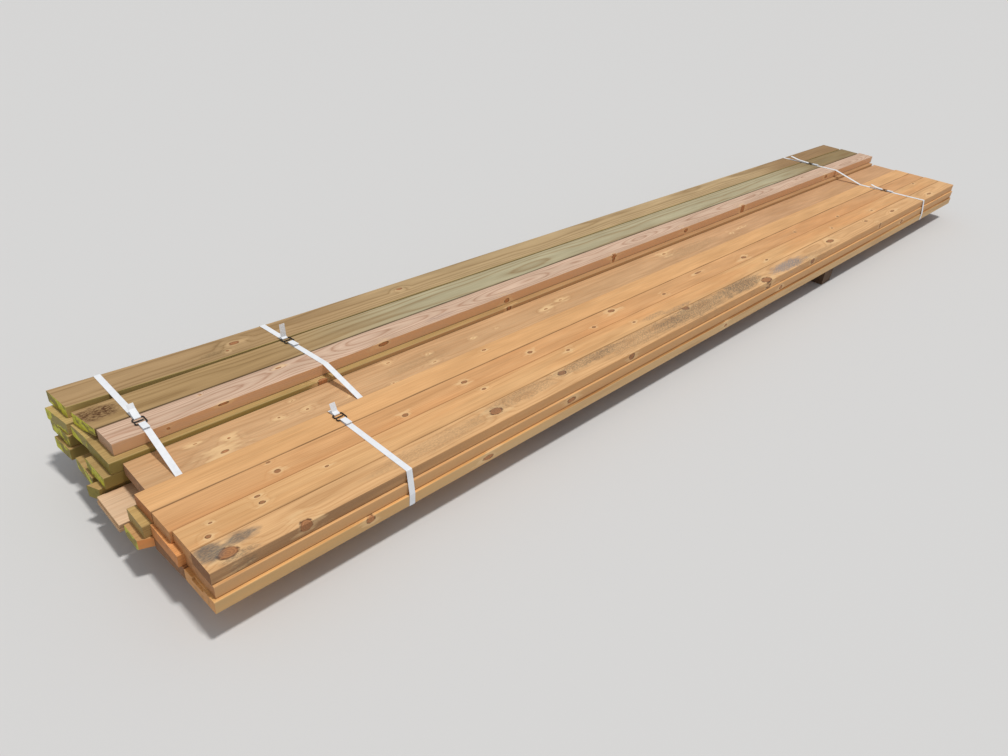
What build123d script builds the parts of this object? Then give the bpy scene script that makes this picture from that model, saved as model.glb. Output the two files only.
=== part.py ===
from build123d import *
import math
import os

os.makedirs("parts", exist_ok=True)

# A stack of lumber: two strapped bundles side by side on two square bearers.
# Millimetres. X runs along the boards to the far end, Y across to the treated
# bundle, Z up. The origin is under the middle of the stack, on the ground.

# Driving dimensions: dressed stock sizes
stock_length = 4877
two_inch = 38
half_inch = 12.5
width_2 = 38
width_4 = 89
width_5 = 114
width_6 = 140
bearer_side = 89
bearer_length = 780
eased_edge = 3
crisp_edge = 1

# Driving dimensions: how the boards lie beside one another, from -Y to +Y
side_gap = 0.4
strap_room = 3
low_ledge = 15
mid_ledge = 7
strip_gap = 1
outer_gap = 10
pink_inset = 22
wane_gap = 4
crown_gap = 6
thin_inset = 8
slim_gap = 6
broad_gap = 18
last_gap = 43
lower_shift = 6
core_gap = 12
core_setback = 60
slim_lead = 57
crown_lead = 21
crook = 26
crook_length = 800
thin_lead = 52
wide_setback = 27

# Driving dimensions: the bearers' places
near_bearer_from_end = 1480
far_bearer_from_end = 3230
near_bearer_inset = 70
far_bearer_inset = 4

# Driving dimensions: strapping and wire buckles
strap_width = 19
strap_thick = 0.9
strap_clear = 0.3
least_bulge = 0.15
fold_clear = 0.15
tail_bend = 3
wire = 3.6
buckle_bend = 5
buckle_half_length = 15
buckle_side_clear = 1.2
buckle_end_gap = 1.5

# Driving dimensions: each strap's place along the boards from the flush ends,
# and its buckle's place across the bundle from the bundle's own -Y side, or in
# the one case from the top layer's +Y side
treated_near_station = 114
treated_second_station = 649
treated_far_station = 4310
tan_near_station = 566
tan_far_station = 4340
treated_near_buckle = 217
treated_second_buckle = 354
treated_far_buckle = 322
tan_near_buckle_from_left = 47
tan_far_buckle = 218


def level(count):
    """Height of the underside of a layer above the ground."""
    return bearer_side + count * two_inch


def crook_at(station):
    """How far the crooked top board is off its straight line, by its station."""
    if station < crook_length / 2:
        return crook / 4 + crook * 3 / 4 * (1 - 2 * station / crook_length)
    return max(0, crook / 2 * (1 - station / crook_length))


to_top_left = 4 * width_4 + 3 * side_gap
under_row = 2 * width_6 + width_4 + 2 * side_gap
to_treated = max(to_top_left, under_row - mid_ledge, under_row - low_ledge) + strap_room
to_crown = to_treated + width_6 + strip_gap + pink_inset + width_4 + wane_gap + width_5 + crown_gap
tan_side = (low_ledge - to_crown - width_5 - crook_at(-crown_lead)) / 2
flush_end = (slim_lead - wide_setback - stock_length) / 2


# Boards. Each is dressed stock with eased long edges, lying flat. right is its
# side towards -Y and under its underside. lead is how far the left corner of its
# near end stands out past the flush ends, and slant how much less the right one
# does where the end was cut out of square.
def stick(width, right, under, lead, slant=0, thick=two_inch, edge=eased_edge):
    """One whole length of stock in its place."""
    proud = max(lead, lead - slant)
    with BuildPart() as blank:
        with BuildSketch(Plane.YZ.offset(flush_end - proud)):
            with Locations((right + width / 2, under + thick / 2)):
                RectangleRounded(width, thick, edge)
        extrude(amount=stock_length)
        if slant:
            cut = Plane(origin=(flush_end - lead, right + width, under), z_dir=(width, slant, 0))
            split(bisect_by=cut, keep=Keep.TOP)
    return blank.part


def corners(width, right, under, thick=two_inch):
    """The four corners of a board's section, in the YZ plane."""
    left = right + width
    top = under + thick
    return [(right, under), (left, under), (left, top), (right, top)]


def save(piece, name):
    """Names a finished piece and writes it."""
    piece.part.label = name
    export_step(piece.part, "parts/" + name + ".step")


def board(name, width, right, under, lead, slant=0, thick=two_inch, edge=eased_edge):
    """Makes one plain board and returns its section's corners."""
    with BuildPart() as piece:
        add(stick(width, right, under, lead, slant, thick, edge))
    save(piece, name)
    return corners(width, right, under, thick)


# Tan bundle, top layer: four boards, the two on the right set back a little
top_2 = tan_side + width_4 + side_gap
top_3 = top_2 + width_4 + side_gap
top_4 = top_3 + width_4 + side_gap
tan_outline = []
tan_outline += board("tan_top_board_1", width_4, tan_side, level(2), -10, 1)
tan_outline += board("tan_top_board_2", width_4, top_2, level(2), -9, 1)
tan_outline += board("tan_top_board_3", width_4, top_3, level(2), 0, 2)
tan_outline += board("tan_top_board_4", width_4, top_4, level(2), 4, 3)

# Tan bundle, middle layer: two wide boards and, on the left, a treated one that
# stands out past them
mid_1 = tan_side - mid_ledge
mid_2 = mid_1 + width_6 + side_gap
mid_3 = mid_2 + width_6 + side_gap
tan_outline += board("tan_middle_board_1", width_6, mid_1, level(1), -11, 1)
tan_outline += board("tan_middle_board_2", width_6, mid_2, level(1), 8, 1)
tan_outline += board("tan_middle_board_3", width_4, mid_3, level(1), 27)

# Tan bundle, bottom layer: a wide board that stands out to the right as a
# ledge, with splinters broken off its end, a second wide board and a treated one
splinter_from_side = 50
splinter_width = 54
splinter_depth = 8
splinter_height = 9
low_1 = tan_side - low_ledge
low_2 = low_1 + width_6 + side_gap
low_3 = low_2 + width_6 + side_gap
with BuildPart() as ledge:
    add(stick(width_6, low_1, level(0), 0, 4))
    with Locations((flush_end, low_1 + splinter_from_side + splinter_width / 2, level(1))):
        Box(splinter_depth * 2, splinter_width, splinter_height * 2, mode=Mode.SUBTRACT)
save(ledge, "tan_bottom_board_1")
tan_outline += corners(width_6, low_1, level(0))
tan_outline += board("tan_bottom_board_2", width_6, low_2, level(0), 9, 9)

# The treated one's near right corner is broken off aslant, and the break's lower
# edge is worn away
broken_lead = 44
break_across = 13
break_along = 36
break_worn = 10
break_face = Vector(break_across, break_along, 0).normalized()
break_start = Vector(flush_end - broken_lead, low_3 + break_across, level(0) + break_worn)
with BuildPart() as broken:
    add(stick(width_4, low_3, level(0), broken_lead))
    split(bisect_by=Plane(origin=break_start, z_dir=break_face), keep=Keep.TOP)
    split(bisect_by=Plane(origin=break_start, z_dir=break_face + Vector(0, 0, 1)), keep=Keep.TOP)
save(broken, "tan_bottom_board_3")
tan_outline += corners(width_4, low_3, level(0))

# Treated bundle, right-hand column: two thin boards on the bearers, an inner
# board on them, and a wide untreated board on top, lower than its neighbours
treated_side = tan_side + to_treated
thin_right = treated_side + thin_inset
thin_under = level(0) + half_inch
wide_under = level(1) + 2 * half_inch
treated_outline = []
treated_outline += board("thin_board_lower", width_6, thin_right, level(0), thin_lead, 0, half_inch)
treated_outline += board("thin_board_upper", width_6, thin_right, thin_under, thin_lead - 2, 0, half_inch)
treated_outline += board("wide_tan_board", width_6, treated_side, wide_under, -wide_setback)

# Treated bundle, third layer: three boards, with gaps as they lie
strip_right = treated_side + width_6 + strip_gap
narrow_right = strip_right + width_6 + side_gap
outer_right = narrow_right + width_4 + outer_gap
treated_outline += board("treated_upper_board_1", width_6, strip_right, level(2), 10, 5)
treated_outline += board("treated_upper_board_2", width_4, narrow_right, level(2), 17, 9)
treated_outline += board("treated_upper_board_3", width_5, outer_right, level(2), 40, 16)

# Treated bundle, top layer: a pinkish board with sharp edges, then two broad
# treated ones, the first with wane along its lower edge at the near end
pink_right = strip_right + pink_inset
wane_right = pink_right + width_4 + wane_gap
crown_right = wane_right + width_5 + crown_gap
wane_lead = 7
wane_slant = 18
wane_length = 420
wane_height = 14
treated_outline += board("pink_top_board", width_4, pink_right, level(3), -14, 4, two_inch, crisp_edge)
with BuildPart() as waney:
    add(stick(width_5, wane_right, level(3), wane_lead, wane_slant))
    with BuildSketch(Plane.YZ.offset(flush_end - wane_lead)) as wane_start:
        with BuildLine():
            Polyline(
                (wane_right, level(3)),
                (wane_right + width_5 * 0.6, level(3)),
                (wane_right, level(3) + wane_height),
                close=True,
            )
        make_face()
    with BuildSketch(Plane.YZ.offset(flush_end + wane_length)) as wane_finish:
        with BuildLine():
            Polyline(
                (wane_right, level(3)),
                (wane_right + 1, level(3)),
                (wane_right, level(3) + 1),
                close=True,
            )
        make_face()
    loft([wane_start.sketch, wane_finish.sketch], mode=Mode.SUBTRACT)
save(waney, "treated_top_board_1")
treated_outline += corners(width_5, wane_right, level(3))

# The outermost top board has a crook: its near end bends away from its neighbour
crown_slant = 11
crown_middle = crown_right + width_5 / 2
crown_left = crown_right + width_5 + crook_at(-crown_lead)
with BuildPart() as crooked:
    with BuildLine(Plane.XY.offset(level(3) + two_inch / 2)) as heart:
        Polyline(
            (flush_end - crown_lead + stock_length, crown_middle),
            (flush_end + crook_length, crown_middle),
            (flush_end + crook_length / 2, crown_middle + crook_at(crook_length / 2)),
            (flush_end - 2 * crown_lead, crown_middle + crook_at(-2 * crown_lead)),
        )
    with BuildSketch(Plane(origin=heart.line @ 0, x_dir=(0, 1, 0), z_dir=heart.line % 0)):
        RectangleRounded(width_5, two_inch, eased_edge)
    sweep(transition=Transition.RIGHT)
    trimmed = Plane(origin=(flush_end - crown_lead, crown_left, level(3)), z_dir=(width_5, crown_slant, 0))
    split(bisect_by=trimmed, keep=Keep.TOP)
save(crooked, "treated_top_board_2")

# Treated bundle, second layer and bottom layer
lower_right = strip_right + side_gap
slim_right = thin_right + width_6 + slim_gap
broad_right = slim_right + width_2 + broad_gap
last_right = broad_right + width_5 + last_gap
treated_outline += board("treated_lower_board_1", width_5, lower_right, level(1), 29, 3)
treated_outline += board("treated_lower_board_2", width_5, outer_right - lower_shift, level(1), 37, 8)
treated_outline += board("treated_bottom_board_1", width_2, slim_right, level(0), slim_lead, 17)
treated_outline += board("treated_bottom_board_2", width_5, broad_right, level(0), 36)
treated_outline += board("treated_bottom_board_3", width_4, last_right, level(0), 45, 9)

# Inner boards that the outer ones hide, set back at both ends
core_boards = [
    (width_5, thin_right, level(0) + 2 * half_inch),
    (width_4, lower_right + width_5 + core_gap, level(1)),
]
with BuildPart() as core:
    for core_width, core_right, core_under in core_boards:
        with BuildSketch(Plane.YZ.offset(flush_end + core_setback)):
            with Locations((core_right + core_width / 2, core_under + two_inch / 2)):
                Rectangle(core_width, two_inch)
        extrude(amount=stock_length - 2 * core_setback)
save(core, "inner_boards")


# Bearers: two square timbers across the stack, which lift it off the ground
def bearer(name, from_end, inset):
    """Makes one square timber with its near side's end at the given inset."""
    with BuildPart() as timber:
        with BuildSketch(Plane.XZ.offset(-(tan_side + inset))):
            with Locations((flush_end + from_end, bearer_side / 2)):
                RectangleRounded(bearer_side, bearer_side, eased_edge)
        extrude(amount=-bearer_length)
    save(timber, name)


bearer("bearer_near", near_bearer_from_end, near_bearer_inset)
bearer("bearer_far", far_bearer_from_end, far_bearer_inset)


# Strapping. Each band is one white plastic strap, drawn tight round its bundle,
# so it follows the outline that a stretched string would take. Both ends pass
# under a bar of the wire buckle, turn round it and come back on top as tails.
def stretched_outline(points):
    """Convex outline of the section points, counterclockwise."""
    ordered = sorted({(round(y, 3), round(z, 3)) for y, z in points})
    chains = []
    for run in (ordered, ordered[::-1]):
        chain = []
        for point in run:
            while len(chain) > 1 and bulge(chain[-2], chain[-1], point) < least_bulge:
                chain.pop()
            chain.append(point)
        chains.append(chain[:-1])
    return chains[0] + chains[1]


def bulge(a, b, c):
    """How far b stands out to the right of the straight way from a to c."""
    double_area = (b[0] - a[0]) * (c[1] - a[1]) - (b[1] - a[1]) * (c[0] - a[0])
    return double_area / math.dist(a, c)


def pushed_out(points, distance):
    """The outline with every side moved outwards, its corners kept sharp."""
    moved = []
    for before, at, after in zip(points[-1:] + points[:-1], points, points[1:] + points[:1]):
        entry = (Vector(*at) - Vector(*before)).normalized()
        leave = (Vector(*after) - Vector(*at)).normalized()
        half_turn = math.radians(entry.get_angle(leave)) / 2
        outward = (entry - leave).normalized()
        corner = Vector(*at) + outward * (distance / math.cos(half_turn))
        moved.append((corner.X, corner.Y))
    return moved


bar_radius = wire / 2
fold_radius = bar_radius + fold_clear + strap_thick / 2
run_height = strap_clear + strap_thick / 2
bar_height = run_height + fold_radius
corner_radius = eased_edge + run_height


def tail_points(start, side, runs):
    """Points of a tail from its tip back to the top of its buckle bar."""
    points = [start]
    for length, angle in runs:
        rise = math.radians(angle)
        y, z = points[-1]
        points.append((y + side * length * math.cos(rise), z + length * math.sin(rise)))
    return points[::-1]


def strap(name, outline, top, station, middle, skew, tails):
    """One band, its centreline passing through the station at the buckle.

    skew is its lean along X in degrees. tails holds, for the +Y and the -Y side
    of the buckle, a list of (length, angle) runs.
    """
    lean = math.radians(skew)
    stretch = 1 / math.cos(lean)
    across = Vector(-math.sin(lean), math.cos(lean), 0)
    place = Plane(
        origin=(flush_end + station - strap_width * stretch / 2, middle, 0),
        x_dir=across,
        z_dir=across.cross(Vector(0, 0, 1)),
    )
    local = [((y - middle) * stretch, z) for y, z in stretched_outline(outline)]
    route = pushed_out(local, run_height)[::-1]
    crown = [point for point in route if point[1] > top and point[0] > 0]
    first = route.index(max(crown))
    around = route[first:] + route[:first]
    bar = buckle_half_length
    bar_z = top + bar_height
    over = bar_z + fold_radius
    under = bar_z - fold_radius
    with BuildPart() as band:
        with BuildSketch(place):
            with BuildLine():
                FilletPolyline(*tail_points((bar, over), 1, tails[0]), radius=tail_bend)
                ThreePointArc((bar, over), (bar - fold_radius, bar_z), (bar, under))
                FilletPolyline((bar, under), *around, (-bar, under), radius=corner_radius)
                ThreePointArc((-bar, under), (fold_radius - bar, bar_z), (-bar, over))
                FilletPolyline(*tail_points((-bar, over), -1, tails[1])[::-1], radius=tail_bend)
                offset(amount=strap_thick / 2, kind=Kind.ARC, side=Side.BOTH)
            make_face()
        extrude(amount=strap_width * stretch, dir=(1, 0, 0))
    save(band, name)


def bent(points, reach):
    """The path with each square corner bent round in two short chords."""
    path = [points[0]]
    for before, at, after in zip(points, points[1:], points[2:]):
        corner = Vector(*at)
        back = (Vector(*before) - corner).normalized()
        on = (Vector(*after) - corner).normalized()
        middle = (back + on) * (1 - math.sqrt(0.5))
        path += [tuple(corner + step * reach)[:2] for step in (back, middle, on)]
    return path + [points[-1]]


def buckle(name, top, station, middle, skew):
    """One wire bent into a frame with a middle bar, its two ends left free.

    Its bars lie along X, in the strap's turns, and its sides follow the skew.
    """
    lean = math.radians(skew)
    side = strap_width / math.cos(lean) / 2 + buckle_side_clear + buckle_bend
    frame = [
        (side - wire - buckle_end_gap, 0),
        (-side, 0),
        (-side, buckle_half_length),
        (side, buckle_half_length),
        (side, -buckle_half_length),
        (-side, -buckle_half_length),
        (-side, -wire - buckle_end_gap),
    ]
    points = [(x - y * math.sin(lean), y * math.cos(lean)) for x, y in frame]
    place = Plane(origin=(flush_end + station, middle, top + bar_height))
    with BuildPart() as clip:
        with BuildLine(place) as path:
            Polyline(*bent(points, buckle_bend))
        with BuildSketch(Plane(origin=path.line @ 0, z_dir=path.line % 0)):
            Circle(bar_radius)
        sweep(transition=Transition.RIGHT)
    save(clip, name)


def fastened(bundle, which, outline, top, station, middle, skew, tails):
    """One strap and its buckle."""
    strap(bundle + "_strap_" + which, outline, top, station, middle, skew, tails)
    buckle(bundle + "_buckle_" + which, top, station, middle, skew)


lying_tail = [(24, 2), (8, 6)]
raised_tail = [(30, 22), (16, 50)]
upright_tail = [(5, 10), (46, 84)]
long_tail = [(60, 4), (50, 12)]
lifted_tail = [(10, 14), (26, 62)]
flat_tail = [(36, 6), (30, 16)]

treated_near = treated_side + treated_near_buckle
treated_second = treated_side + treated_second_buckle
treated_far = treated_side + treated_far_buckle
tan_near = tan_side + to_top_left - tan_near_buckle_from_left
tan_far = tan_side + tan_far_buckle
near_tails = (raised_tail, lying_tail)
second_tails = (upright_tail, lying_tail)
far_tails = (long_tail, lying_tail)
tan_near_tails = (lifted_tail, lying_tail)
tan_far_tails = (flat_tail, lying_tail)
top = level(4)
tan_top = level(3)


def with_crown(station):
    """The treated bundle's outline where the crooked board's part of it counts."""
    outermost = crown_right + crook_at(station - 2 * strap_width)
    return treated_outline + corners(width_5, outermost, level(3))


around_near = with_crown(treated_near_station)
around_second = with_crown(treated_second_station)
around_far = with_crown(treated_far_station)
fastened("treated", "near", around_near, top, treated_near_station, treated_near, 0, near_tails)
fastened("treated", "second", around_second, top, treated_second_station, treated_second, 5, second_tails)
fastened("treated", "far", around_far, top, treated_far_station, treated_far, 9, far_tails)
fastened("tan", "near", tan_outline, tan_top, tan_near_station, tan_near, 1, tan_near_tails)
fastened("tan", "far", tan_outline, tan_top, tan_far_station, tan_far, 9, tan_far_tails)
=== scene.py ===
import math

import bpy
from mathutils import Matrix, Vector


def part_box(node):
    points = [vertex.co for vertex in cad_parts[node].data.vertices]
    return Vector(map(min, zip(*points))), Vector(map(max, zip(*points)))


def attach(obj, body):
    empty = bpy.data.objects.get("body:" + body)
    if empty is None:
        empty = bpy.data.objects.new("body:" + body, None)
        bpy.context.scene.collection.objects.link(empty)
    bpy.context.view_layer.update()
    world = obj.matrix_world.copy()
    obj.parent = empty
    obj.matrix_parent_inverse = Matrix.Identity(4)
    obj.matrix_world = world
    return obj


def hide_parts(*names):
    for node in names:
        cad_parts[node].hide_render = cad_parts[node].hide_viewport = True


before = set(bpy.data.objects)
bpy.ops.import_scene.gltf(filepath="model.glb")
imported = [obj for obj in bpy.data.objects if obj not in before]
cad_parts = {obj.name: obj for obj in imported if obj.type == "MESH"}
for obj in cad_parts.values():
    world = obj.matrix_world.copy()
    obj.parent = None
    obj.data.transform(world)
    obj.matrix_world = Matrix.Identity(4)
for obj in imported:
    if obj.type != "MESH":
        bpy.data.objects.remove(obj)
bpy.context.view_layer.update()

# Bearers: two square timbers under the stack that have lain outdoors for years.
# Rough-sawn softwood, grey-brown and dark with damp, cut to length and laid
# loose on the ground.

# Spots on the boards are measured from one corner of the stack, in metres: along
# from the flush near ends, across from the tan bundle's -Y side and up from the
# tan bundle's top.
datum = Vector((
    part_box("tan_top_board_3")[0].x,
    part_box("tan_top_board_1")[0].y,
    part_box("tan_top_board_1")[1].z,
))


def srgb(red, green, blue):
    """A colour given as 0 to 255, as the linear colour that shaders take."""
    return tuple((value / 255) ** 2.2 for value in (red, green, blue)) + (1.0,)


def grey(value):
    """A neutral linear colour."""
    return (value, value, value, 1.0)


def darker(colour, share):
    """A linear colour with only this share of its light left."""
    return tuple(share * value for value in colour[:3]) + (1.0,)


class Shader:
    """A new material, with short calls that add nodes to its tree."""

    def __init__(self, name):
        self.material = bpy.data.materials.new(name)
        self.material.use_nodes = True
        self.tree = self.material.node_tree
        self.surface = self.tree.nodes["Principled BSDF"].inputs

    def node(self, kind, *feeds, out=0, **settings):
        """Adds a node, feeds its inputs in order and returns one output."""
        made = self.tree.nodes.new("ShaderNode" + kind)
        for setting, value in settings.items():
            setattr(made, setting, value)
        for socket, feed in zip(made.inputs, feeds):
            if isinstance(feed, bpy.types.NodeSocket):
                self.tree.links.new(feed, socket)
            elif feed is not None:
                socket.default_value = feed
        return made.outputs[out]

    def math(self, operation, *feeds):
        return self.node("Math", *feeds, operation=operation)

    def vector(self, operation, *feeds, out="Vector"):
        return self.node("VectorMath", *feeds, out=out, operation=operation)

    def fade(self, value, start, finish, before=0.0, after=1.0):
        """Eases from before to after while value goes from start to finish."""
        return self.node(
            "MapRange", value, start, finish, before, after, interpolation_type="SMOOTHSTEP"
        )

    def blend(self, factor, first, second, kind="MIX"):
        return self.node("MixRGB", factor, first, second, blend_type=kind)

    def ramp(self, value, stops):
        """Turns a value into a colour, by stops of (value, colour)."""
        made = self.tree.nodes.new("ShaderNodeValToRGB")
        self.tree.links.new(value, made.inputs[0])
        band = made.color_ramp
        while len(band.elements) < len(stops):
            band.elements.new(0.5)
        for element, (at, colour) in zip(band.elements, stops):
            element.position = at
            element.color = colour
        return made.outputs[0]

    def shade(self, colour, value, stops):
        """Makes a colour lighter or darker in places, by a ramp of factors."""
        return self.blend(1.0, colour, self.ramp(value, stops), "MULTIPLY")

    def coat(self, colour, roughness, relief=None, strength=0.0, depth=0.0):
        """Gives the surface its colour and roughness, and its relief as a bump."""
        self.tree.links.new(colour, self.surface["Base Color"])
        self.tree.links.new(roughness, self.surface["Roughness"])
        if relief is not None:
            bump = self.node("Bump", strength, depth, None, relief)
            self.tree.links.new(bump, self.surface["Normal"])


def dress(node, material):
    """Puts one material all over a CAD node."""
    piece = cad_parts[node]
    piece.data.materials.clear()
    piece.data.materials.append(material)
    for polygon in piece.data.polygons:
        polygon.material_index = 0


# The noises in wood: waves per metre along, across and up, and how many octaves.
NOISES = {
    "drift": ((1.3, 3, 3), 2.0),
    "fuzz": ((9, 260, 260), 2.0),
    "streak": ((5, 330, 330), 3.0),
    "broad": ((3.5, 26, 26), 4.0),
    "ragged": ((40, 120, 120), 2.0),
    "soaked": ((22, 60, 60), 4.0),
    "blotch": ((1.1, 7, 7), 3.0),
    "mottle": ((3, 12, 50), 3.0),
    "feather": ((14, 70, 70), 3.0),
    "bark": ((55, 90, 90), 1.0),
    "speck": ((110, 330, 330), 3.0),
    "patchy_seams": ((4, 1, 1), 3.0),
    "grime": ((60, 60, 60), 4.0),
    "paint": ((1, 17, 27), 3.0),
    "wear": ((90, 90, 90), 3.0),
}
NOISE_ROUGHNESS = 0.55

# The two levels of each noise at which its patches begin and are complete.
PATCHES = {
    "streak": (0.3, 0.7),
    "blotch": (0.42, 0.68),
    "mottle": (0.3, 0.6),
    "feather": (0.3, 0.7),
    "bark": (0.4, 0.6),
    "speck": (0.42, 0.58),
    "patchy_seams": (0.35, 0.6),
    "grime": (0.45, 0.75),
    "paint": (0.49, 0.56),
    "wear": (0.35, 0.55),
}

# Shades of a growth ring through its year, 0 being pale and 1 late wood.
RING_YEAR = ((0.0, 0.25), (0.25, 0.0), (0.62, 0.25), (0.86, 1.0), (0.97, 0.3))

BLUE_STAIN = srgb(96, 96, 90)
KNOT_HEART = srgb(196, 130, 84)
KNOT_RING = srgb(148, 88, 52)
KNOT_BARK = srgb(84, 50, 30)
KNOT_FLARE = srgb(242, 204, 152)


class Wood(Shader):
    """One board's solid wood, to which each step adds a layer of colour."""

    def __init__(self, node):
        super().__init__(node + "_wood")
        self.low, self.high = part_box(node)
        self.middle = (self.low + self.high) / 2
        self.place = self.node("TexCoord", out="Object")
        self.facing = self.node("NewGeometry", out="Normal")
        self.along = self.math("SUBTRACT", self.axis(self.place, "X"), datum.x)
        # Each board has noise of its own, from wherever its middle lies.
        own = Vector((37 * self.middle.y, 53 * self.middle.z, 91 * self.middle.y))
        self.noise_place = self.vector("ADD", self.place, tuple(own))
        self.streak = self.noise("streak")

    def axis(self, vector, name):
        return self.node("SeparateXYZ", vector, out=name)

    def noise(self, name, out=0):
        waves, octaves = NOISES[name]
        place = self.vector("MULTIPLY", self.noise_place, waves)
        return self.node("TexNoise", place, None, 1.0, octaves, NOISE_ROUGHNESS, out=out)

    def patches(self, name, least=0.0, most=1.0):
        """A noise pressed into patches: least between them, most inside them."""
        return self.fade(self.noise(name), *PATCHES[name], least, most)

    def oval(self, along, across, long, wide, on_side=False):
        """Distance from a spot on a face, 1 on the rim of its oval."""
        if on_side:
            spot = Vector((datum.x + along, self.low.y, datum.z + across))
            reach = (2 / long, 2 / wide, 2 / wide)
        else:
            spot = datum + Vector((along, across, 0))
            reach = (2 / long, 2 / wide, 0)
        offset = self.vector("SUBTRACT", self.place, tuple(spot))
        return self.vector("LENGTH", self.vector("MULTIPLY", offset, reach), out="Value")

    def grow(self, heart, ring, wander, knots, side_knots):
        """Lays the growth rings round the heart line and bends them round knots."""
        knot_reach = 4.0
        rings_pushed = 1.9
        fuzziness = 0.35
        drift = self.vector("SUBTRACT", self.noise("drift", out="Color"), (0.5, 0.5, 0.5))
        drift = self.vector("MULTIPLY", drift, (0, 2 * wander, 2 * wander))
        heart_line = self.middle + Vector((0, *heart))
        offset = self.vector("SUBTRACT", self.place, tuple(heart_line))
        offset = self.vector("MULTIPLY", self.vector("ADD", offset, drift), (0, 1, 1))
        radius = self.vector("LENGTH", offset, out="Value")
        self.from_knots = [self.oval(*knot) for knot in knots]
        self.from_knots += [self.oval(*knot, on_side=True) for knot in side_knots]
        for away in self.from_knots:
            pushed = self.fade(away, 0.0, knot_reach, rings_pushed * ring, 0.0)
            radius = self.math("ADD", radius, pushed)
        years = self.math("DIVIDE", radius, ring)
        fuzz = self.math("MULTIPLY", self.noise("fuzz"), fuzziness)
        year = self.math("FRACT", self.math("ADD", years, fuzz))
        self.growth = self.ramp(year, [(when, grey(shade)) for when, shade in RING_YEAR])

    def grain(self, pale, far, late, contrast, blotch):
        """Colours the rings, then adds blotches and streaks along the grain."""
        fine_shades = ((0.25, (0.84, 0.82, 0.80, 1)), (0.75, grey(1.10)))
        broad_shades = ((0.3, (0.87, 0.85, 0.82, 1)), (0.7, grey(1.08)))
        # far tints change the colour along the board; on the ledge the tint is painted
        # shadow.
        along_tone = pale
        for start, finish, tint in far:
            along_tone = self.blend(self.fade(self.along, start, finish), along_tone, tint)
        colour = self.blend(self.math("MULTIPLY", self.growth, contrast), along_tone, late)
        if blotch:
            colour = self.blend(self.patches("blotch", most=0.6), colour, blotch)
        colour = self.shade(colour, self.streak, fine_shades)
        return self.shade(colour, self.noise("broad"), broad_shades)

    def colour_side(self, colour, side, side_far, foot_shade, painted_shade):
        """Colours the side that faces out, near and far, and paints shadow at its foot."""
        facing_out = (-0.9, -0.5)
        turned_out = (-0.6, -0.2)
        near_metre = (0.35, 1.0)
        foot_shade_height = (0.001, 0.005)
        sideways = self.axis(self.facing, "Y")
        # On the lower treated boards this side colour is painted shade.
        outward = self.fade(sideways, *facing_out, 1.0, 0.0)
        cover = self.math("MULTIPLY", outward, self.patches("mottle", least=0.7))
        side_tone = self.blend(self.fade(self.along, *near_metre), side, side_far)
        colour = self.blend(cover, colour, side_tone)
        # Painted shadow along the foot of the outward side, a few millimetres high.
        height = self.math("SUBTRACT", self.axis(self.place, "Z"), self.low.z)
        foot = self.fade(height, *foot_shade_height, foot_shade, 0.0)
        foot = self.math("MULTIPLY", foot, self.fade(sideways, *turned_out, 1.0, 0.0))
        return self.blend(foot, colour, painted_shade)

    def draw_knots(self, colour, core, flare, tone):
        """Draws pale torn grain round each knot, its ringed core and its bark."""
        raggedness = 0.36
        mean_raggedness = 0.17
        flare_reach = 2.8
        core_rings = 3.2
        core_cover = 0.85
        core_edge = (0.9 * core, 1.1 * core)
        bark_inner = (0.75 * core, core)
        bark_outer = (1.05 * core, 1.3 * core)
        nearest = self.from_knots[0]
        for away in self.from_knots[1:]:
            nearest = self.math("MINIMUM", nearest, away)
        rough = self.math("MULTIPLY", self.noise("ragged"), raggedness)
        ragged = self.math("SUBTRACT", self.math("ADD", nearest, rough), mean_raggedness)
        feather = self.patches("feather", least=0.5, most=1.9)
        feathered = self.math("MULTIPLY", ragged, feather)
        pale = self.fade(feathered, core, flare_reach, flare, 0.0)
        colour = self.blend(pale, colour, KNOT_FLARE)
        circles = self.math("FRACT", self.math("MULTIPLY", ragged, core_rings))
        heart = self.blend(circles, KNOT_HEART, KNOT_RING)
        heart = self.blend(1.0, heart, grey(tone), "MULTIPLY")
        inside = self.fade(ragged, *core_edge, core_cover, 0.0)
        colour = self.blend(inside, colour, heart)
        rim = self.fade(ragged, *bark_outer, 1.0, 0.0)
        rim = self.math("MULTIPLY", self.fade(ragged, *bark_inner), rim)
        bark = self.math("MULTIPLY", rim, self.patches("bark", least=0.1, most=0.85))
        return self.blend(bark, colour, KNOT_BARK)

    def stain(self, colour, ground, smudge, along, across, long, wide, strength, tint=None):
        """Stains a spot with specks, ground being how much shows between them."""
        raggedness = 1.1
        edge = (1.0, 1.7)
        soaked = self.math("MULTIPLY", self.noise("soaked"), raggedness)
        ragged = self.math("ADD", self.oval(along, across, long, wide), soaked)
        cover = self.fade(ragged, *edge, strength, 0.0)
        cover = self.math("MULTIPLY", cover, self.patches("speck", least=ground))
        return self.blend(cover, colour, tint or smudge)

    def shade_seams(self, colour, seam_shade, painted_shade):
        """Paints shade along the top's two long edges, in patches, where the seams are."""
        seam_width = (0.001, 0.004)
        across = self.axis(self.place, "Y")
        for dark, edge, inward in ((seam_shade[0], self.low.y, 1), (seam_shade[1], self.high.y, -1)):
            inside = self.math("MULTIPLY", self.math("SUBTRACT", across, edge), inward)
            # Painted shade, fading in from the edge over a few millimetres.
            soiled = self.fade(inside, *seam_width, dark, 0.0)
            soiled = self.math("MULTIPLY", soiled, self.patches("patchy_seams", least=0.5))
            colour = self.blend(soiled, colour, painted_shade)
        return colour

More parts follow.
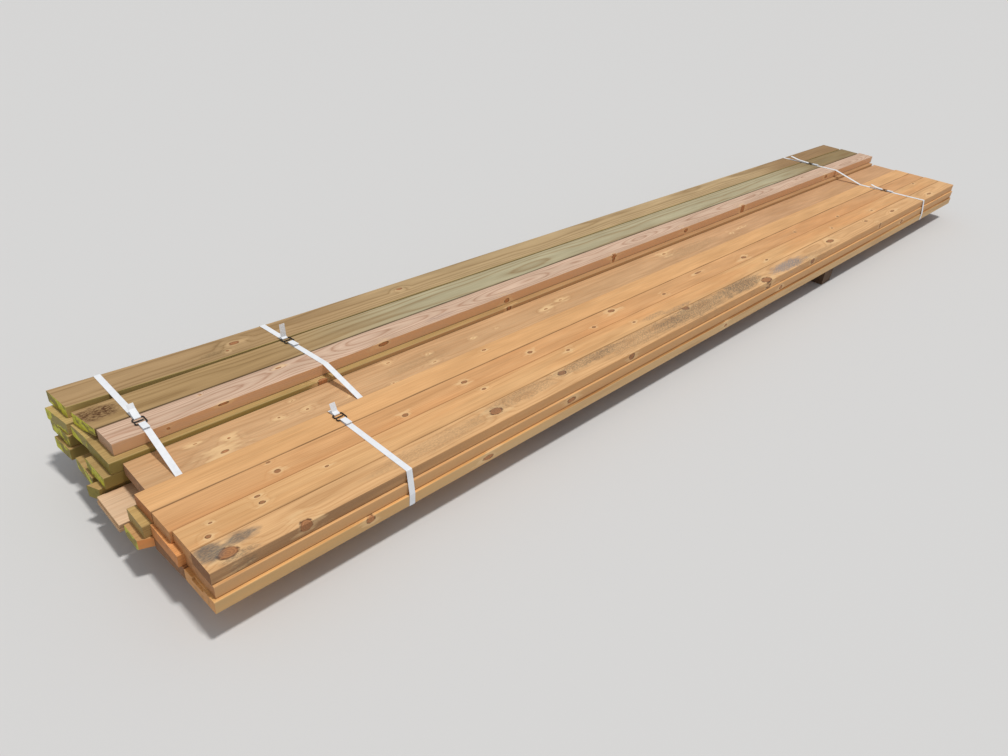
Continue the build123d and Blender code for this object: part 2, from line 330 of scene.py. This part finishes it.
    def saw_ends(self, colour, end, end_paint):
        """Gives the sawn ends their rings, grime and what is left of mill paint."""
        facing_along = (0.55, 0.8)
        late_wood = darker(end, 0.6)
        grime = darker(end, 0.45)
        endways = self.fade(self.math("ABSOLUTE", self.axis(self.facing, "X")), *facing_along)
        sawn = self.blend(self.math("MULTIPLY", self.growth, 0.5), end, late_wood)
        sawn = self.blend(self.patches("grime", most=0.5), sawn, grime)
        if end_paint:
            wear = self.patches("wear", least=0.45)
            cover = self.math("MULTIPLY", self.patches("paint"), wear)
            sawn = self.blend(cover, sawn, end_paint)
        return self.blend(endways, colour, sawn)

    def plane_surface(self, colour, roughness):
        """Makes the surface dull and its relief follow the grain."""
        sheen = 0.28
        smoothest = roughness - 0.08
        roughest = roughness + 0.1
        fibre_height = 0.6
        ring_height = 0.25
        self.surface["Specular IOR Level"].default_value = sheen
        dullness = self.fade(self.streak, *PATCHES["streak"], smoothest, roughest)
        fibres = self.math("MULTIPLY", self.streak, fibre_height)
        rings = self.math("MULTIPLY", self.growth, ring_height)
        relief = self.math("ADD", fibres, rings)
        self.coat(colour, dullness, relief, strength=0.35, depth=0.0006)


def wood(
    node,
    pale,
    late,
    end,
    heart=(0.02, -0.09),
    ring=0.005,
    wander=0.012,
    contrast=0.5,
    blotch=None,
    far=(),
    knots=(),
    side_knots=(),
    knot_core=0.8,
    knot_flare=0.6,
    knot_tone=1.0,
    stains=(),
    clouds=(),
    smudge=BLUE_STAIN,
    side=None,
    side_far=None,
    foot_shade=0.0,
    seam_shade=(0.5, 0.5),
    end_paint=None,
    roughness=0.62,
):
    """Paints one board as solid wood and puts it on its node.

    The growth rings are cylinders round a heart line beside the board, heart
    being (across, up) from the board's middle, so faces, edges and ends agree.
    A knot is (along, across, long, wide), a side knot (along, up, long, high),
    a stain (along, across, long, wide, strength) and its colour if not smudge's.
    Stains are specks on a faint ground, clouds the same but softer and more even.
    knot_core is the dark share of a knot's width, knot_flare the strength of the
    pale grain round it and knot_tone how light its core is. far holds (start,
    finish, colour) along the board; on the ledge it is painted shadow. side is the
    colour of the side that faces out, painted shade on the lower treated boards,
    side_far the same past the near metre, and foot_shade how dark the painted
    shadow at its foot is. seam_shade says how dark the painted shade along the -Y
    and the +Y edge of the top is.
    """
    stain_ground = 0.3
    cloud_ground = 0.75
    # The colour of the painted shade at the foot of a side and along the seams.
    painted_shade = darker(late, 0.3)
    board = Wood(node)
    board.grow(heart, ring, wander, knots, side_knots)
    colour = board.grain(pale, far, late, contrast, blotch)
    if side:
        colour = board.colour_side(colour, side, side_far or side, foot_shade, painted_shade)
    if board.from_knots:
        colour = board.draw_knots(colour, knot_core, knot_flare, knot_tone)
    for cloud in clouds:
        colour = board.stain(colour, cloud_ground, smudge, *cloud)
    for stain in stains:
        colour = board.stain(colour, stain_ground, smudge, *stain)
    colour = board.shade_seams(colour, seam_shade, painted_shade)
    colour = board.saw_ends(colour, end, end_paint)
    board.plane_surface(colour, roughness)
    dress(node, board.material)


for bearer in ("bearer_near", "bearer_far"):
    wood(
        bearer,
        pale=srgb(112, 92, 76),
        late=srgb(66, 51, 40),
        end=srgb(104, 84, 68),
        heart=(0.0, -0.01),
        ring=0.006,
        seam_shade=(0, 0),
        roughness=0.85,
    )


# Inner boards: what little shows of the layers between the outer boards.
# Plain softwood in shadow, the same stock as the boards round it.
wood(
    "inner_boards",
    pale=srgb(196, 148, 100),
    late=srgb(160, 110, 68),
    end=srgb(150, 104, 66),
)


# Tan bundle, bottom layer: a broad ledge with splinters off its end, a second
# broad board and a treated one whose corner is broken off. Planed softwood,
# rained on and dusty, so the edges that face out have greyed.
END_PAINT = srgb(212, 210, 66)
TREATED_END = srgb(156, 142, 68)

wood(
    "tan_bottom_board_1",
    pale=srgb(240, 184, 118),
    late=srgb(216, 148, 84),
    end=srgb(226, 164, 102),
    heart=(0.05, -0.12),
    blotch=srgb(232, 186, 124),
    # Painted shadow: the ledge is darkened past 1.3 m, as if under the board above.
    far=((0.95, 1.3, srgb(150, 104, 62)),),
    knots=((0.434, 0.0, 0.03, 0.022),),
    side_knots=(
        (0.434, -0.085, 0.034, 0.026),
        (0.860, -0.095, 0.050, 0.020),
        (2.200, -0.095, 0.025, 0.015),
    ),
    side=srgb(208, 168, 116),
    side_far=srgb(216, 178, 128),
    seam_shade=(0, 0.3),
)
wood(
    "tan_bottom_board_2",
    pale=srgb(206, 150, 100),
    late=srgb(176, 118, 72),
    end=srgb(150, 104, 66),
    heart=(0.0, -0.03),
)
wood(
    "tan_bottom_board_3",
    pale=srgb(206, 160, 108),
    late=srgb(172, 122, 76),
    end=TREATED_END,
    end_paint=END_PAINT,
    side=srgb(240, 158, 92),
    seam_shade=(0, 0.3),
)

# Tan bundle, middle layer: two broad boards and, on the left, a treated one, all
# laid loose edge to edge. Their near ends stand out unevenly past the top layer.
wood(
    "tan_middle_board_1",
    pale=srgb(236, 184, 126),
    late=srgb(208, 146, 90),
    end=srgb(196, 138, 88),
    heart=(-0.03, -0.1),
    blotch=srgb(226, 176, 122),
    side_knots=(
        (1.240, -0.056, 0.050, 0.020),
        (2.663, -0.060, 0.030, 0.020),
        (4.070, -0.060, 0.040, 0.020),
    ),
    side=srgb(210, 162, 112),
    foot_shade=0.6,
    seam_shade=(0, 0.4),
)
wood(
    "tan_middle_board_2",
    pale=srgb(236, 168, 106),
    late=srgb(212, 138, 82),
    end=srgb(222, 150, 92),
    heart=(0.03, -0.05),
    seam_shade=(0.2, 0.4),
)
wood(
    "tan_middle_board_3",
    pale=srgb(204, 172, 112),
    late=srgb(172, 138, 82),
    end=srgb(176, 150, 92),
    heart=(0.01, -0.05),
    seam_shade=(0.3, 0.3),
)

# Tan bundle, top layer: four boards planed to the same size, side by side, with
# sound knots. The outermost is stained grey round its near knot and midway.
TOP_BLOTCH = srgb(222, 158, 102)
TOP_END = srgb(206, 148, 96)

wood(
    "tan_top_board_1",
    pale=srgb(230, 183, 131),
    late=srgb(192, 140, 91),
    end=srgb(148, 100, 60),
    heart=(0.012, -0.075),
    wander=0.016,
    knot_core=0.95,
    knot_flare=0.45,
    knot_tone=0.78,
    knots=(
        (0.072, 0.033, 0.05, 0.036),
        (0.944, 0.048, 0.046, 0.03),
        (1.266, 0.067, 0.036, 0.022),
        (2.016, 0.080, 0.040, 0.024),
        (2.543, 0.016, 0.070, 0.034),
        (3.243, 0.050, 0.060, 0.026),
        (3.702, 0.062, 0.030, 0.014),
        (4.003, 0.040, 0.050, 0.014),
        (4.544, 0.029, 0.050, 0.016),
    ),
    side_knots=(
        (0.257, -0.008, 0.036, 0.034),
        (1.564, -0.015, 0.032, 0.026),
        (2.961, -0.014, 0.04, 0.024),
        (3.749, -0.016, 0.02, 0.03),
    ),
    stains=(
        (0.09, 0.010, 0.10, 0.03, 0.6),
        (0.70, 0.045, 0.50, 0.07, 0.3),
        (1.08, 0.062, 0.42, 0.07, 0.4),
        (1.40, 0.070, 0.36, 0.06, 0.6),
        (1.70, 0.052, 0.60, 0.09, 0.45),
        (2.05, 0.048, 0.60, 0.10, 0.7),
        (2.40, 0.055, 0.36, 0.10, 0.9),
        (2.78, 0.036, 0.34, 0.07, 0.9, srgb(126, 130, 138)),
        (3.0, 0.020, 0.60, 0.05, 0.3),
    ),
    clouds=(
        (0.040, 0.060, 0.080, 0.075, 0.85, srgb(96, 95, 92)),
        (0.120, 0.062, 0.095, 0.050, 0.8, srgb(96, 95, 92)),
    ),
    smudge=srgb(104, 94, 80),
    side=srgb(163, 124, 88),
    side_far=srgb(208, 156, 104),
    foot_shade=0.75,
    seam_shade=(0, 0.5),
)
wood(
    "tan_top_board_2",
    pale=srgb(230, 182, 128),
    late=srgb(202, 146, 92),
    end=TOP_END,
    heart=(-0.02, -0.12),
    ring=0.006,
    contrast=0.35,
    blotch=TOP_BLOTCH,
    knots=(
        (0.216, 0.133, 0.020, 0.013),
        (0.218, 0.160, 0.018, 0.009),
        (0.087, 0.147, 0.012, 0.007),
        (0.063, 0.108, 0.018, 0.014),
        (0.415, 0.150, 0.014, 0.008),
        (0.998, 0.158, 0.020, 0.011),
        (1.396, 0.153, 0.022, 0.012),
        (1.754, 0.136, 0.020, 0.011),
        (2.747, 0.126, 0.024, 0.012),
        (3.431, 0.126, 0.024, 0.012),
        (3.905, 0.115, 0.026, 0.012),
        (4.663, 0.167, 0.026, 0.014),
    ),
    knot_tone=0.7,
    stains=((1.85, 0.12, 0.16, 0.03, 0.45), (2.0, 0.10, 0.24, 0.03, 0.5)),
    smudge=srgb(128, 112, 96),
    seam_shade=(0.5, 0.25),
)
wood(
    "tan_top_board_3",
    pale=srgb(224, 172, 120),
    late=srgb(200, 142, 90),
    end=TOP_END,
    heart=(0.02, -0.14),
    ring=0.006,
    contrast=0.3,
    blotch=TOP_BLOTCH,
    far=((1.8, 3.8, srgb(218, 166, 116)),),
    knots=(
        (0.306, 0.259, 0.016, 0.009),
        (0.306, 0.213, 0.024, 0.018),
        (0.720, 0.202, 0.024, 0.018),
        (0.976, 0.226, 0.026, 0.016),
        (1.280, 0.225, 0.026, 0.015),
        (1.600, 0.204, 0.022, 0.013),
        (1.754, 0.246, 0.044, 0.022),
        (2.051, 0.207, 0.022, 0.013),
        (2.354, 0.240, 0.060, 0.012),
        (2.681, 0.206, 0.040, 0.020),
        (3.203, 0.216, 0.024, 0.014),
        (3.631, 0.188, 0.024, 0.012),
    ),
    knot_tone=0.7,
    seam_shade=(0.25, 0.75),
)
wood(
    "tan_top_board_4",
    pale=srgb(228, 178, 124),
    late=srgb(212, 154, 100),
    end=srgb(190, 124, 76),
    heart=(0.05, -0.1),
    ring=0.007,
    contrast=0.3,
    blotch=srgb(228, 174, 118),
    knots=((1.164, 0.332, 0.020, 0.010),),
    seam_shade=(0.75, 0.3),
)

# Thin boards: two half-inch boards, one on the other, straight on the bearers
# under the treated bundle. Planed, almost clean, a little pinker than the rest.
for thin in ("thin_board_lower", "thin_board_upper"):
    wood(
        thin,
        pale=srgb(236, 203, 168),
        late=srgb(206, 162, 124),
        end=srgb(212, 168, 120),
        heart=(-0.02, -0.05),
        blotch=srgb(220, 176, 134),
        contrast=0.35,
        side=srgb(190, 156, 122),
        seam_shade=(0, 0),
    )

# Treated bundle, bottom and second layers: softwood boards pressure-treated with
# a green-brown preservative, laid loose. The yellow-green mill paint on their
# ends is patchy and flaking.
for treated in (
    "treated_bottom_board_1",
    "treated_bottom_board_2",
    "treated_bottom_board_3",
    "treated_lower_board_1",
    "treated_lower_board_2",
):
    wood(
        treated,
        pale=srgb(196, 164, 112),
        late=srgb(164, 130, 82),
        end=TREATED_END,
        heart=(0.01, -0.06),
        end_paint=END_PAINT,
        blotch=srgb(168, 142, 90),
        # The outward sides are painted shade, darkened as if in partial shadow.
        side=srgb(146, 126, 70),
        seam_shade=(0, 0),
    )

# Treated bundle, third layer: the broad untreated board on the right, which lies
# lower than the treated three beside it. It has large feathery knots where the
# planer tore the grain.
wood(
    "wide_tan_board",
    pale=srgb(216, 174, 130),
    late=srgb(190, 142, 98),
    end=srgb(170, 130, 100),
    heart=(-0.01, -0.11),
    ring=0.006,
    wander=0.02,
    contrast=0.45,
    blotch=srgb(206, 160, 114),
    far=((1.8, 3.6, srgb(209, 164, 123)),),
    knots=(
        (0.204, 0.466, 0.030, 0.010),
        (0.286, 0.434, 0.026, 0.018),
        (0.250, 0.387, 0.055, 0.030),
        (0.527, 0.419, 0.022, 0.016),
        (0.441, 0.433, 0.022, 0.012),
        (0.514, 0.483, 0.018, 0.008),
        (0.669, 0.401, 0.014, 0.008),
        (0.811, 0.374, 0.020, 0.012),
        (0.870, 0.480, 0.030, 0.012),
        (1.011, 0.444, 0.018, 0.012),
        (0.996, 0.392, 0.036, 0.010),
        (1.206, 0.431, 0.014, 0.009),
        (1.325, 0.432, 0.012, 0.007),
        (1.582, 0.425, 0.040, 0.016),
        (1.684, 0.443, 0.040, 0.016),
        (2.426, 0.466, 0.050, 0.024),
        (2.941, 0.417, 0.024, 0.020),
        (3.046, 0.433, 0.050, 0.010),
    ),
    knot_core=0.4,
    knot_flare=0.75,
    stains=(
        (0.30, 0.385, 0.10, 0.03, 0.15),
        (0.95, 0.420, 0.30, 0.06, 0.30),
        (2.60, 0.430, 0.50, 0.08, 0.35),
    ),
    smudge=srgb(150, 124, 92),
    seam_shade=(0.6, 0.3),
)
wood(
    "treated_upper_board_1",
    pale=srgb(186, 158, 104),
    late=srgb(160, 130, 80),
    end=srgb(146, 132, 64),
    heart=(0.02, -0.08),
    far=((0.7, 2.2, srgb(194, 150, 108)),),
    knots=((0.639, 0.507, 0.04, 0.018), (1.462, 0.503, 0.035, 0.014)),
    side=srgb(150, 132, 74),
    side_far=srgb(190, 150, 106),
    seam_shade=(0, 0),
)
for treated in ("treated_upper_board_2", "treated_upper_board_3"):
    wood(
        treated,
        pale=srgb(200, 174, 114),
        late=srgb(172, 142, 88),
        end=srgb(168, 152, 88),
        heart=(0.02, -0.08),
        end_paint=END_PAINT,
        blotch=srgb(186, 158, 104),
        seam_shade=(0, 0),
    )

# Treated bundle, top layer: a pinkish softwood board with bold grain and sharp
# edges, and two broad treated boards, whose brown turns paler and greener midway
# and comes back at the far end.
wood(
    "pink_top_board",
    pale=srgb(220, 190, 166),
    late=srgb(174, 130, 104),
    end=srgb(196, 160, 130),
    heart=(0.0, -0.045),
    ring=0.0045,
    wander=0.035,
    contrast=0.75,
    knots=(
        (0.294, 0.603, 0.010, 0.006),
        (0.540, 0.595, 0.024, 0.008),
        (2.128, 0.532, 0.030, 0.010),
        (3.220, 0.530, 0.040, 0.016),
    ),
    side_knots=(
        (0.326, 0.034, 0.036, 0.010),
        (0.165, 0.022, 0.014, 0.010),
        (0.891, 0.030, 0.046, 0.015),
        (1.470, 0.014, 0.030, 0.022),
        (2.128, 0.028, 0.040, 0.016),
        (2.691, 0.020, 0.040, 0.022),
        (3.220, 0.020, 0.044, 0.024),
        (4.205, 0.020, 0.040, 0.024),
    ),
    stains=((1.147, 0.55, 0.16, 0.03, 0.4),),
    smudge=srgb(150, 126, 118),
    side=srgb(226, 177, 132),
    foot_shade=0.6,
    seam_shade=(0, 0.7),
)
wood(
    "treated_top_board_1",
    pale=srgb(183, 152, 107),
    late=srgb(144, 113, 72),
    end=TREATED_END,
    heart=(-0.02, -0.1),
    ring=0.007,
    contrast=0.7,
    far=((0.5, 1.2, srgb(186, 178, 146)), (3.8, 4.4, srgb(150, 130, 92))),
    end_paint=END_PAINT,
    stains=((0.040, 0.690, 0.13, 0.08, 1.0),),
    smudge=srgb(88, 58, 32),
    seam_shade=(0.7, 0.7),
)
wood(
    "treated_top_board_2",
    pale=srgb(182, 151, 110),
    late=srgb(142, 111, 72),
    end=TREATED_END,
    heart=(0.015, -0.09),
    ring=0.007,
    contrast=0.7,
    far=((0.6, 1.6, srgb(196, 169, 127)), (3.7, 4.2, srgb(160, 128, 90))),
    end_paint=END_PAINT,
    knots=(
        (1.173, 0.806, 0.032, 0.016),
        (0.510, 0.809, 0.040, 0.022),
        (0.471, 0.779, 0.012, 0.010),
    ),
    knot_flare=0.3,
    knot_tone=0.8,
    stains=((0.43, 0.785, 0.10, 0.03, 0.5), (0.47, 0.82, 0.05, 0.03, 0.4)),
    smudge=srgb(120, 98, 66),
    side=srgb(196, 170, 106),
    seam_shade=(0.15, 0),
)


# Straps: white polyester cord strapping, many parallel cords under a clear
# coating, drawn tight round each bundle. Both ends turn round a buckle's bars.
def strap_weave(node):
    """Paints one strap: white, finely ribbed along its run, a little soiled."""
    soil_waves = 60.0
    soil_octaves = 3.0
    soiled_white = srgb(234, 238, 244)
    clean_white = srgb(243, 246, 250)
    rib_waves = 420.0
    rib_wobble = 0.4
    weave = Shader(node + "_weave")
    place = weave.node("TexCoord", out="Object")
    soil = weave.node("TexNoise", place, None, soil_waves, soil_octaves)
    colour = weave.ramp(soil, ((0.3, soiled_white), (0.6, clean_white)))
    dullness = weave.node("MapRange", soil, 0.3, 0.7, 0.35, 0.5)
    ribs = weave.node("TexWave", place, rib_waves, rib_wobble, bands_direction="X")
    weave.coat(colour, dullness, ribs, strength=0.25, depth=0.0003)
    dress(node, weave.material)


for node in (
    "treated_strap_near",
    "treated_strap_second",
    "treated_strap_far",
    "tan_strap_near",
    "tan_strap_far",
):
    strap_weave(node)


# Buckles: one length of black phosphate-coated steel wire bent into a frame with
# a middle bar. The strap ends wrap its two outer bars and hold by friction.
def round_bends(corners, bend):
    """Leads a path through its corners with a round right-angled bend at each."""
    steps = 8
    path = [corners[0]]
    for before, at, after in zip(corners, corners[1:], corners[2:]):
        back = (before - at).normalized() * bend
        on = (after - at).normalized() * bend
        for step in range(steps + 1):
            swing = math.radians(90 * step / steps)
            path.append(at + back * (1 - math.sin(swing)) + on * (1 - math.cos(swing)))
    return path + [corners[-1]]


def wire_mesh(node, path, radius):
    """Sweeps a round wire along a path."""
    line = bpy.data.curves.new(node + "_line", "CURVE")
    line.dimensions = "3D"
    line.bevel_depth = radius
    line.bevel_resolution = 5
    line.use_fill_caps = True
    run = line.splines.new("POLY")
    run.points.add(len(path) - 1)
    for point, spot in zip(run.points, path):
        point.co = (*spot, 1)
    model = bpy.data.objects.new(node + "_model", line)
    mesh = bpy.data.meshes.new_from_object(model)
    bpy.data.objects.remove(model)
    mesh.shade_smooth()
    return mesh


def black_steel(node):
    """Coated steel, its black rubbed to grey in places."""
    rub_waves = 260.0
    rub_octaves = 3.0
    black = srgb(38, 38, 40)
    rubbed_grey = srgb(84, 82, 80)
    steel = Shader(node + "_steel")
    place = steel.node("TexCoord", out="Object")
    rubbed = steel.node("TexNoise", place, None, rub_waves, rub_octaves)
    colour = steel.ramp(rubbed, ((0.4, black), (0.75, rubbed_grey)))
    dullness = steel.node("MapRange", rubbed, 0.3, 0.7, 0.5, 0.35)
    steel.coat(colour, dullness)
    steel.surface["Metallic"].default_value = 0.6
    return steel.material


def buckle_wire(node, lean):
    """Bends one round wire in place of the faceted one, its sides leaning by lean.

    The wire runs along the middle bar and then round the whole frame, back to
    that bar. Each tip stops end_gap short of the wire that it comes to.
    """
    wire_radius = 0.0018
    bend = 0.005
    half_width = 0.0107 + bend
    half_length = 0.015
    end_gap = 0.0051
    turn = math.radians(lean)
    corners = [
        Vector((across - along * math.sin(turn), along * math.cos(turn), 0))
        for across, along in (
            (half_width - end_gap, 0),
            (-half_width, 0),
            (-half_width, half_length),
            (half_width, half_length),
            (half_width, -half_length),
            (-half_width, -half_length),
            (-half_width, -end_gap),
        )
    ]
    mesh = wire_mesh(node, round_bends(corners, bend), wire_radius)
    mesh.materials.append(black_steel(node))
    low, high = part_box(node)
    clip = bpy.data.objects.new(node + "_wire", mesh)
    clip.location = (low + high) / 2
    bpy.context.collection.objects.link(clip)
    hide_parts(node)
    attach(clip, "root")


for node, lean in (
    ("treated_buckle_near", 0),
    ("treated_buckle_second", 5),
    ("treated_buckle_far", 9),
    ("tan_buckle_near", 1),
    ("tan_buckle_far", 9),
):
    buckle_wire(node, lean)


# Floor: a plain pale studio floor, wide enough for every view of the stack.
floor_size = 60
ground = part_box("bearer_near")[0].z
bpy.ops.mesh.primitive_plane_add(size=floor_size, location=(0, 0, ground))
floor = bpy.context.object
floor.name = "studio_floor"
paper = Shader("studio_paper")
paper.surface["Base Color"].default_value = srgb(214, 214, 214)
paper.surface["Roughness"].default_value = 0.9
floor.data.materials.append(paper.material)

# Light: a high soft key that leans a little from the -Y side and the far end, and
# an even pale surround.
world = bpy.data.worlds.new("studio_surround")
world.use_nodes = True
surround = world.node_tree.nodes["Background"].inputs
surround["Color"].default_value = (0.93, 0.96, 1.0, 1)
surround["Strength"].default_value = 0.4
bpy.context.scene.world = world
key = bpy.data.lights.new("high_key", "SUN")
key.energy = 2.0
key.angle = math.radians(6)
key.color = (1.0, 0.97, 0.93)
high_key = bpy.data.objects.new("high_key", key)
high_key.rotation_euler = (math.radians(9), math.radians(8), 0)
bpy.context.collection.objects.link(high_key)
bpy.context.scene.view_settings.view_transform = "Standard"

# Camera: held at eye height off the near right corner, looking down along the
# stack, at the photograph's viewing angle.
sensor = 36
frame_width = 1008
focal_pixels = 756.8
eye_from_datum = (-0.4253, -1.2202, 1.3095)
turns_in_degrees = (57.384, -4.341, -44.877)
lens = bpy.data.cameras.new("viewpoint")
lens.sensor_width = sensor
lens.lens = focal_pixels / frame_width * sensor
viewpoint = bpy.data.objects.new("viewpoint", lens)
viewpoint.location = datum + Vector(eye_from_datum)
viewpoint.rotation_euler = [math.radians(turn) for turn in turns_in_degrees]
bpy.context.collection.objects.link(viewpoint)
bpy.context.scene.camera = viewpoint
